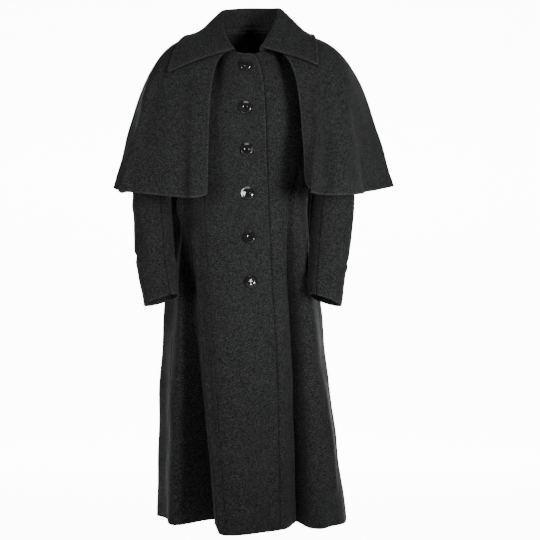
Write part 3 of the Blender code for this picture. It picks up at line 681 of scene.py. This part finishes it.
def mark_edges(piece, others, reach, crispness):
    """Marks the cut edges and those of them that meet another piece, and creases both."""
    points = mesh_points(piece)
    near = [distances(tree_of(mesh_points(other)), points, 1.0) < reach for other in others]
    at_seam = np.any(near, axis=0)
    mesh = bmesh.new()
    mesh.from_mesh(piece.data)
    crease_edge = mesh.edges.layers.float.get("crease_edge") or mesh.edges.layers.float.new("crease_edge")
    crease_vert = mesh.verts.layers.float.get("crease_vert") or mesh.verts.layers.float.new("crease_vert")
    edges = {edge for edge in mesh.edges if is_cut_edge(edge, at_seam)}
    corners = {vert for vert in mesh.verts if is_corner(vert, edges, at_seam)}
    cut = np.zeros(len(points))
    for edge in edges:
        ends = [vert.index for vert in edge.verts]
        cut[ends] = 1.0
        if edge.calc_length() > THIN_FACE or corners.intersection(edge.verts):
            edge[crease_edge] = 1.0 if at_seam[ends].all() else crispness
    for vert in corners:
        vert[crease_vert] = CORNER_CRISPNESS
    mesh.to_mesh(piece.data)
    mesh.free()
    set_value_layer(piece, "cut_edge", cut)
    set_value_layer(piece, "seam_edge", cut * at_seam)


def subdivide(piece, levels):
    """Rounds and refines a piece."""
    select_only(piece)
    bpy.ops.object.modifier_add(type="SUBSURF")
    modifier = piece.modifiers[-1]
    modifier.levels = levels
    modifier.render_levels = levels
    bpy.ops.object.modifier_apply(modifier=modifier.name)
    smooth(piece, SMOOTH_ANGLE)


def outward(group, points, arms):
    """Level directions away from the middle of the body, or of the arm, at these points."""
    middle = np.zeros((len(points), 2))
    if group == "sleeves":
        for side, (fit_x, fit_y) in arms.items():
            own = points[:, 0] * side > 0
            middle[own, 0] = np.polyval(fit_x, points[own, 2])
            middle[own, 1] = np.polyval(fit_y, points[own, 2])
    level = points[:, :2] - middle
    level /= np.maximum(np.linalg.norm(level, axis=1, keepdims=True), LEAST_RADIUS)
    return np.column_stack([level, np.zeros(len(points))])


def uneven(group, points):
    """Soft waves in random directions, none near the shoulders."""
    length, height = HELD[group][1:]
    chance = np.random.default_rng(WAVE_SEED)
    total = np.zeros(len(points))
    for _ in range(WAVE_COUNT):
        heading = chance.normal(size=3) * WAVE_HEADING
        heading *= 2 * math.pi / (length * chance.uniform(*WAVE_SPREAD) * np.linalg.norm(heading))
        total += np.sin(points @ heading + chance.uniform(0, 2 * math.pi))
    calm = 1.0
    if group != "collar":
        calm = np.clip((CALM_ABOVE_Z - points[:, 2]) / (CALM_ABOVE_Z - FULL_BELOW_Z), 0.0, 1.0)
    scale = height * bpy.context.scene.overcoat_cloth.unevenness / math.sqrt(WAVE_COUNT / 2)
    return total * scale * calm


def fold_heights(group, points):
    """Height of the soft ridges and troughs at these points, on the front of the coat."""
    total = np.zeros(len(points))
    for _, across, up, half_width, start, end in FOLDS[group]:
        line = np.column_stack([across, up])
        gap = np.full(len(points), np.inf)
        share = np.zeros(len(points))
        for i, (first, last) in enumerate(zip(line, line[1:])):
            step = last - first
            away = points[:, [0, 2]] - first
            part = np.clip(away @ step / (step @ step), 0.0, 1.0)
            here = np.linalg.norm(away - part[:, None] * step, axis=1)
            closer = here < gap
            gap[closer] = here[closer]
            share[closer] = (i + part[closer]) / (len(line) - 1)
        bell = 0.5 + 0.5 * np.cos(math.pi * np.clip(gap / half_width, 0.0, 1.0))
        total += bell * (start + (end - start) * share) * (points[:, 1] < FOLDS_IN_FRONT_OF_Y)
    return total


def arm_middles(points):
    """For each side, the middle of its sleeve as curves of x and y against height."""
    found = {}
    for side in (-1, 1):
        own = points[points[:, 0] * side > 0]
        levels = np.linspace(own[:, 2].min() + ARM_CUFF, own[:, 2].max() - ARM_TOP, ARM_RINGS)
        rings = [own[np.argsort(np.abs(own[:, 2] - level))[:ARM_RING_POINTS]] for level in levels]
        middles = np.array([(ring.max(axis=0) + ring.min(axis=0)) / 2 for ring in rings])
        found[side] = [np.polyfit(levels, middles[:, axis], ARM_CURVE_DEGREE) for axis in (0, 1)]
    return found


def shift(group, points, arms):
    """How far the cloth at these points is pushed out of its solid's form."""
    return outward(group, points, arms) * (uneven(group, points) + fold_heights(group, points))[:, None]


def bell_sink(depth, gap, width):
    """How far the cloth sinks at these gaps from a line, with this depth at the line."""
    return -depth * np.exp(-((gap / width) ** 2))


def lap_shade(points, lap):
    """Shade of the left front's points: the darkest under the lap, and fading away from its edge."""
    gap = distances(lap, points, GROOVE_REACH)
    hidden = np.array([point[0] < lap.find(point)[0].x for point in points]) & (gap < LAP_REACH)
    width = np.interp(-points[:, 2], LAP_SHADE_DEPTHS, LAP_SHADE_WIDTHS)
    return np.where(hidden, DARKEST_SHADE, np.maximum(gap - LAP_CLEARANCE, 0.0) / width)


def collar_shade(points):
    """Shade of the cape's points that fades away from the collar's edge."""
    collar = bpy.data.objects["collar_cloth"]
    edge = tree_of(mesh_points(collar)[value_layer(collar, "turned_edge") < AT_EDGE])
    return np.maximum(distances(edge, points, GROOVE_REACH) - COLLAR_CLEARANCE, 0.0) / COLLAR_SHADE_WIDTH


def make_cloth(group):
    """Makes a group's pieces of cloth, with their folds, seams and rounded edges."""
    crispness = bpy.context.scene.overcoat_cloth.edge_crispness
    pieces = {row[0]: coarse_copy(row[0]) for row in CLOTH[group]}
    for piece in pieces.values():
        if group == "collar":
            mark_edges(piece, [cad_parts[name] for name in COLLAR_MEETS], COLLAR_SEAM_REACH, crispness)
        else:
            mark_edges(piece, [other for other in pieces.values() if other != piece], SEAM_REACH, crispness)
    arms = {}
    if group == "sleeves":
        arms = arm_middles(np.vstack([mesh_points(piece) for piece in pieces.values()]))
    for node, levels, width, length, area, hung_from in CLOTH[group]:
        piece = pieces[node]
        subdivide(piece, levels)
        points = mesh_points(piece)
        cut = value_layer(piece, "cut_edge") > ON_EDGE
        seam = value_layer(piece, "seam_edge")
        groove_and_shade = distances(tree_of(points[seam > ON_EDGE]), points, GROOVE_REACH)
        turned = distances(tree_of(points[cut & (seam < OFF_SEAM)]), points, GROOVE_REACH)
        if node == "right_front":
            lap = tree_of(points[cut])
        # Painted shadow: the left front darkens under the lap's edge and the cape under the collar's edge,
        # kept in the same values as the seams' grooves
        if node == "left_front":
            groove_and_shade = np.minimum(groove_and_shade, lap_shade(points, lap))
        if group == "cape":
            groove_and_shade = np.minimum(groove_and_shade, collar_shade(points))
        # Below the chest the distance from the body's turned edges is raised, so the painted edge highlight
        # fades out there
        highlight_fade = EDGE_HIGHLIGHT_FADE * np.clip((EDGE_HIGHLIGHT_FADES_Z - points[:, 2]) / EDGE_HIGHLIGHT_FADE_RUN, 0.0, 1.0)
        set_value_layer(piece, "turned_edge", turned + highlight_fade * (group == "body"))
        stitched = np.abs(turned - STITCH_INSET) if group == "collar" else groove_and_shade
        set_value_layer(piece, "groove_and_shade", np.minimum(groove_and_shade, stitched))
        sink = bell_sink(SEAM_SINK, groove_and_shade, SEAM_SINK_WIDTH)
        moved = points + shift(group, points, arms) + outward(group, points, arms) * sink[:, None]
        if group == "collar":
            dip = bell_sink(STITCH_SINK, stitched, STITCH_SINK_WIDTH)
            puff = EDGE_PUFF * np.sin(math.pi * np.clip(turned / STITCH_INSET, 0.0, 1.0))
            moved += mesh_normals(piece) * (dip + puff)[:, None]
        piece.data.vertices.foreach_set("co", moved.ravel())
        piece.data.update()
        finish_piece(piece, wool_material(), "wool", node)
    return pieces


def line_at(piece, values, level, outer):
    """Runs of points and normals where a layer has this level, among the vertices marked as outer."""
    mesh = piece.data
    mesh.calc_loop_triangles()
    faces = np.empty(len(mesh.loop_triangles) * 3, np.int32)
    mesh.loop_triangles.foreach_get("vertices", faces)
    faces = faces.reshape(-1, 3)
    above = (values[faces] > level).sum(axis=1)
    faces = faces[(above > 0) & (above < 3) & outer[faces].all(axis=1)]
    links = {}
    for face in faces:
        pairs = [(min(a, b), max(a, b)) for a, b in zip(face, np.roll(face, -1))]
        crossed = [pair for pair in pairs if (values[pair[0]] > level) != (values[pair[1]] > level)]
        for one, other in (crossed, crossed[::-1]):
            links.setdefault(one, []).append(other)
    layers = (mesh_points(piece), mesh_normals(piece))
    runs = []
    left = dict.fromkeys(links)
    while left:
        key = next((pair for pair in left if len(links[pair]) == 1), next(iter(left)))
        run = []
        while key is not None:
            del left[key]
            run.append(key)
            key = next((pair for pair in links[key] if pair in left), None)
        first, last = np.array(run).T
        share = ((level - values[first]) / (values[last] - values[first]))[:, None]
        runs.append([layer[first] + share * (layer[last] - layer[first]) for layer in layers])
    return runs


def add_bar(mesh, middles, facings, radii):
    """Adds a closed round bar through these middles, turned to face these ways."""
    rings = []
    turns = np.arange(THREAD_SIDES) * 2 * math.pi / THREAD_SIDES
    for middle, facing, run, radius in zip(middles, facings, np.gradient(middles, axis=0), radii):
        side = np.cross(run, facing)
        side /= np.linalg.norm(side)
        up = np.cross(side, run)
        up /= np.linalg.norm(up)
        ring = [middle + radius * (math.cos(turn) * side + math.sin(turn) * up) for turn in turns]
        rings.append([mesh.verts.new(point) for point in ring])
    for one, other in zip(rings, rings[1:]):
        for i in range(THREAD_SIDES):
            mesh.faces.new((one[i - 1], one[i], other[i], other[i - 1]))
    mesh.faces.new(rings[0][::-1])
    mesh.faces.new(rings[-1])


def stitch_row(name, runs):
    """Topstitching along these runs of points, each stitch a short bar that dips into the cloth."""
    mesh = bmesh.new()
    share = np.linspace(0, 1, STITCH_RINGS)
    swell = np.sin(math.pi * share)
    lift = THREAD_RADIUS * (STITCH_DIP + (1 - STITCH_DIP) * swell)
    radii = THREAD_RADIUS * (STITCH_END_SHARE + (1 - STITCH_END_SHARE) * swell)
    for points, normals in runs:
        reach = np.concatenate([[0.0], np.cumsum(np.linalg.norm(np.diff(points, axis=0), axis=1))])
        if reach[-1] < STITCH_LEAST_RUN:
            continue
        for start in np.arange(0.0, reach[-1] - STITCH_LENGTH, STITCH_LENGTH + STITCH_GAP):
            along = start + share * STITCH_LENGTH
            middles = np.column_stack([np.interp(along, reach, points[:, i]) for i in range(3)])
            facings = np.column_stack([np.interp(along, reach, normals[:, i]) for i in range(3)])
            add_bar(mesh, middles + facings * lift[:, None], facings, radii)
    bmesh.ops.recalc_face_normals(mesh, faces=mesh.faces)
    data = bpy.data.meshes.new(name)
    mesh.to_mesh(data)
    mesh.free()
    stitches = bpy.data.objects.new(name, data)
    bpy.context.scene.collection.objects.link(stitches)
    smooth(stitches, THREAD_SMOOTH_ANGLE)
    return stitches


def button_axes(node):
    """Where a button's back lies, and a matrix of its right, up and facing directions."""
    points = mesh_points(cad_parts[node])
    middle = points.mean(axis=0)
    facing = np.linalg.eigh(np.cov((points - middle).T))[1][:, 0]
    facing *= -np.sign(facing[1])
    right = np.cross((0.0, 0.0, 1.0), facing)
    right /= np.linalg.norm(right)
    axes = np.array([right, np.cross(facing, right), facing])
    back = middle + facing * ((points - middle) @ facing).min()
    return back, axes


def take_out(piece, cutter):
    """Takes the cutter's shape out of a piece, and the cutter away."""
    select_only(piece)
    bpy.ops.object.modifier_add(type="BOOLEAN")
    modifier = piece.modifiers[-1]
    modifier.operation = "DIFFERENCE"
    modifier.object = cutter
    bpy.ops.object.modifier_apply(modifier=modifier.name)
    select_only(cutter)
    bpy.ops.object.delete()


def button_blank():
    """A turned button with four holes, face up with its back at the origin."""
    bpy.ops.object.select_all(action="DESELECT")
    radius, height = BUTTON_PROFILE[0]
    bpy.ops.mesh.primitive_circle_add(vertices=BUTTON_STEPS, radius=radius, fill_type="NGON")
    blank = bpy.context.active_object
    bpy.ops.object.mode_set(mode="EDIT")
    for new_radius, new_height in BUTTON_PROFILE[1:]:
        bpy.ops.mesh.extrude_region_move(TRANSFORM_OT_translate={"value": (0.0, 0.0, new_height - height)})
        share = new_radius / radius
        bpy.ops.transform.resize(value=(share, share, 1.0), center_override=(0.0, 0.0, 0.0))
        radius, height = new_radius, new_height
    bpy.ops.mesh.select_all(action="SELECT")
    bpy.ops.mesh.normals_make_consistent(inside=False)
    bpy.ops.object.mode_set(mode="OBJECT")
    hole = bpy.context.scene.overcoat_buttons.hole_radius
    for x in (-HOLE_PLACE, HOLE_PLACE):
        for y in (-HOLE_PLACE, HOLE_PLACE):
            bpy.ops.object.select_all(action="DESELECT")
            bpy.ops.mesh.primitive_cylinder_add(
                vertices=HOLE_STEPS,
                radius=hole,
                depth=HOLE_CUTTER_SHARE * height,
                location=(x, y, height / 2),
            )
            take_out(blank, bpy.context.active_object)
    return blank


def thread_loops():
    """Six loops of thread through the holes of a button that lies at the origin."""
    loops = []
    for up in (-HOLE_PLACE, HOLE_PLACE):
        for aside in (-LOOP_SPACING, 0.0, LOOP_SPACING):
            bpy.ops.object.select_all(action="DESELECT")
            bpy.ops.mesh.primitive_torus_add(
                location=(0.0, up + aside, LOOP_Z),
                rotation=(math.radians(90), 0.0, 0.0),
                major_segments=LOOP_STEPS,
                minor_segments=THREAD_SIDES,
                major_radius=HOLE_PLACE,
                minor_radius=BUTTON_THREAD_RADIUS,
            )
            loops.append(bpy.context.active_object)
    select_only(loops[0])
    for loop in loops:
        loop.select_set(True)
    bpy.ops.object.join()
    bpy.ops.object.transform_apply(location=True, rotation=True, scale=True)
    bpy.ops.object.mode_set(mode="EDIT")
    bpy.ops.mesh.select_all(action="SELECT")
    bpy.ops.transform.resize(value=(1.0, 1.0, LOOP_STRETCH), center_override=(0.0, 0.0, LOOP_Z))
    bpy.ops.object.mode_set(mode="OBJECT")
    return loops[0]


def copied(piece, name):
    """A copy of a piece with its own mesh."""
    select_only(piece)
    bpy.ops.object.duplicate()
    copy = bpy.context.active_object
    copy.name = copy.data.name = name
    return copy


def carve(button, flats):
    """Cuts flats into the face of a button that lies at the origin."""
    select_only(button)
    bpy.ops.object.mode_set(mode="EDIT")
    for heading, reach, slope in flats:
        x = math.cos(math.radians(heading))
        y = math.sin(math.radians(heading))
        bpy.ops.mesh.select_all(action="SELECT")
        bpy.ops.mesh.bisect(
            plane_co=(reach * x, reach * y, CARVED_TOP),
            plane_no=(slope * x, slope * y, 1.0),
            use_fill=True,
            clear_outer=True,
        )
    bpy.ops.object.mode_set(mode="OBJECT")


def put_in_order(piece):
    """Sorts a mesh's vertices and faces by place, since bisect leaves them in an order that varies."""
    points = mesh_points(piece)
    order = np.lexsort(points.T)
    rank = np.argsort(order)
    faces = []
    for face in piece.data.polygons:
        corners = [int(rank[vertex]) for vertex in face.vertices]
        first = corners.index(min(corners))
        faces.append(corners[first:] + corners[:first])
    piece.data.clear_geometry()
    piece.data.from_pydata(points[order], [], sorted(faces))


def finish_piece(piece, material, slot, *nodes):
    """Gives a piece its material, and hides the solids that it replaces; its slot is not used."""
    piece.data.materials.clear()
    piece.data.materials.append(material)
    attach(piece, "root")
    if nodes:
        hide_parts(*nodes)


def thread_material():
    """Matt dark thread."""
    return plain_material("wool_thread", bpy.context.scene.overcoat_cloth.thread_colour, THREAD_FINISH)


def make_backdrop():
    """A floor that sweeps up into a wall, with a painted glow of light behind the coat."""
    floor_back = STAGE_BACK - STAGE_SWEEP
    bpy.ops.object.select_all(action="DESELECT")
    bpy.ops.mesh.primitive_plane_add(size=2 * STAGE_HALF_WIDTH)
    backdrop = bpy.context.active_object
    backdrop.name = backdrop.data.name = "backdrop"
    bpy.ops.object.mode_set(mode="EDIT")
    bpy.ops.transform.translate(value=(0.0, floor_back - STAGE_HALF_WIDTH, FLOOR_Z))
    mesh = bmesh.from_edit_mesh(backdrop.data)
    for vert in mesh.verts:
        vert.select_set(vert.co.y > floor_back - STAGE_HALF_WIDTH)
    mesh.select_flush(False)
    mesh.select_flush(True)
    bmesh.update_edit_mesh(backdrop.data)
    turns = [math.radians(90 * step / STAGE_STEPS) for step in range(STAGE_STEPS + 1)]
    for low, high in zip(turns, turns[1:]):
        back = STAGE_SWEEP * (math.sin(high) - math.sin(low))
        rise = STAGE_SWEEP * (math.cos(low) - math.cos(high))
        bpy.ops.mesh.extrude_region_move(TRANSFORM_OT_translate={"value": (0.0, back, rise)})
    bpy.ops.mesh.extrude_region_move(TRANSFORM_OT_translate={"value": (0.0, 0.0, STAGE_RISE)})
    bpy.ops.object.mode_set(mode="OBJECT")
    bpy.ops.object.shade_smooth()
    stage = bpy.context.scene.overcoat_stage
    colours = {"Base Color": stage.paper_colour, "Emission Color": stage.paper_colour}
    paper, tree, shader = new_material("studio_paper", {**colours, **PAPER_FINISH})
    parts = add_node(tree, "ShaderNodeSeparateXYZ", "Place Parts", {"Vector": object_place(tree)}).outputs
    # Painted light: the paper behind the coat glows, fading in from the front and out towards the sides
    glow = ramp(tree, parts["Y"], "Backdrop Glow", GLOW_FROM_Y, GLOW_FULL_Y, 0.0, stage.paper_glow)
    across = combine(tree, "Across", "ABSOLUTE", parts["X"], 0.0)
    near = ramp(tree, across, "Near the Middle", *GLOW_REACH_X, 1.0, 0.0)
    fill_inputs(tree, shader, {"Emission Strength": combine(tree, "Glow", "MULTIPLY", glow, near)})
    backdrop.data.materials.append(paper)


class OVERCOAT_OT_body(bpy.types.Operator):
    """Makes the eight panels of the coat's body and skirt"""

    bl_idname = "overcoat.body"
    bl_label = "Body and Skirt"

    def execute(self, context):
        make_cloth("body")
        return {"FINISHED"}


class OVERCOAT_OT_sleeves(bpy.types.Operator):
    """Makes the upper and under halves of both sleeves"""

    bl_idname = "overcoat.sleeves"
    bl_label = "Sleeves"

    def execute(self, context):
        make_cloth("sleeves")
        return {"FINISHED"}


class OVERCOAT_OT_collar(bpy.types.Operator):
    """Makes the turned-down collar and its topstitching"""

    bl_idname = "overcoat.collar"
    bl_label = "Collar"

    def execute(self, context):
        collar = make_cloth("collar")["collar"]
        out_or_up = outward("collar", mesh_points(collar), {}) + (0.0, 0.0, 1.0)
        outer = (mesh_normals(collar) * out_or_up).sum(axis=1) > STITCH_FACING
        runs = line_at(collar, value_layer(collar, "turned_edge"), STITCH_INSET, outer)
        finish_piece(stitch_row("collar_topstitching", runs), thread_material(), "wool")
        return {"FINISHED"}


class OVERCOAT_OT_cape(bpy.types.Operator):
    """Makes the shoulder cape's two fronts and its back, under a collar that is there already"""

    bl_idname = "overcoat.cape"
    bl_label = "Cape"

    def execute(self, context):
        make_cloth("cape")
        return {"FINISHED"}


class OVERCOAT_OT_buttons(bpy.types.Operator):
    """Makes the six buttons down the front"""

    bl_idname = "overcoat.buttons"
    bl_label = "Buttons"

    def execute(self, context):
        resin = plain_material("black_button_resin", context.scene.overcoat_buttons.colour, RESIN_FINISH)
        blank = button_blank()
        loops = thread_loops()
        for number, flats in enumerate(CARVING, 1):
            node = f"button_{number}"
            back, axes = button_axes(node)
            back = back + shift("body", back[None], {})[0]
            place = Matrix.Translation(Vector(back)) @ Matrix(axes.tolist()).transposed().to_4x4()
            button = copied(blank, f"front_button_{number}")
            carve(button, flats)
            put_in_order(button)
            stitches = copied(loops, f"front_button_{number}_thread")
            for piece, angle in ((button, BUTTON_SMOOTH_ANGLE), (stitches, THREAD_SMOOTH_ANGLE)):
                piece.data.transform(place)
                smooth(piece, angle)
            finish_piece(button, resin, "button", node)
            finish_piece(stitches, thread_material(), "button")
        for spare in (blank, loops):
            select_only(spare)
            bpy.ops.object.delete()
        return {"FINISHED"}


class OVERCOAT_OT_stage(bpy.types.Operator):
    """Makes the white floor and backdrop, the studio lights and the camera"""

    bl_idname = "overcoat.stage"
    bl_label = "Stage"

    def execute(self, context):
        make_backdrop()
        world = context.scene.world or bpy.data.worlds.new("Studio")
        context.scene.world = world
        world.use_nodes = True
        background = world.node_tree.nodes["Background"]
        fill_inputs(world.node_tree, background, {"Color": WORLD_COLOUR, "Strength": WORLD_LIGHT})

        for name, place, width, height, share, spread in LIGHTS:
            bpy.ops.object.light_add(type="AREA", location=place)
            light = context.active_object
            light.name = name
            light.data.shape = "RECTANGLE"
            light.data.energy = context.scene.overcoat_stage.key_power * share
            light.data.size = width
            light.data.size_y = height
            light.data.spread = math.radians(spread)
            light.rotation_mode = "QUATERNION"
            aim = Vector((LIGHTS_AIM_SIDE * place[0], 0.0, LIGHTS_AIM_Z))
            light.rotation_quaternion = (aim - Vector(place)).to_track_quat("-Z", "Y")

        bpy.ops.object.camera_add(location=CAMERA_PLACE, rotation=(math.radians(90), 0, 0))
        camera = context.active_object
        camera.name = "Photo Camera"
        camera.data.lens = CAMERA_LENS
        camera.data.sensor_width = CAMERA_SENSOR
        context.scene.camera = camera
        return {"FINISHED"}


class OVERCOAT_PT_panel(bpy.types.Panel):
    """Lists the coat's settings and its pieces"""

    bl_label = "Overcoat"
    bl_idname = "OVERCOAT_PT_panel"
    bl_space_type = "VIEW_3D"
    bl_region_type = "UI"
    bl_category = "Overcoat"

    def draw(self, context):
        for name, group in GROUPS:
            for setting in group.__annotations__:
                self.layout.prop(getattr(context.scene, name), setting)
        for operator in OPERATORS:
            self.layout.operator(operator.bl_idname)


GROUPS = (
    ("overcoat_cloth", OvercoatCloth),
    ("overcoat_buttons", OvercoatButtons),
    ("overcoat_stage", OvercoatStage),
)
OPERATORS = (
    OVERCOAT_OT_body,
    OVERCOAT_OT_sleeves,
    OVERCOAT_OT_collar,
    OVERCOAT_OT_cape,
    OVERCOAT_OT_buttons,
    OVERCOAT_OT_stage,
)


def register():
    for name, group in GROUPS:
        bpy.utils.register_class(group)
        setattr(bpy.types.Scene, name, bpy.props.PointerProperty(type=group))
    for item in (*OPERATORS, OVERCOAT_PT_panel):
        bpy.utils.register_class(item)


def unregister():
    for item in reversed((*OPERATORS, OVERCOAT_PT_panel)):
        bpy.utils.unregister_class(item)
    for name, group in reversed(GROUPS):
        delattr(bpy.types.Scene, name)
        bpy.utils.unregister_class(group)


def main():
    """Builds the coat and its stage."""
    register()
    bpy.ops.overcoat.body()
    bpy.ops.overcoat.sleeves()
    bpy.ops.overcoat.collar()
    bpy.ops.overcoat.cape()
    bpy.ops.overcoat.buttons()
    bpy.ops.overcoat.stage()


if __name__ == "__main__":
    main()
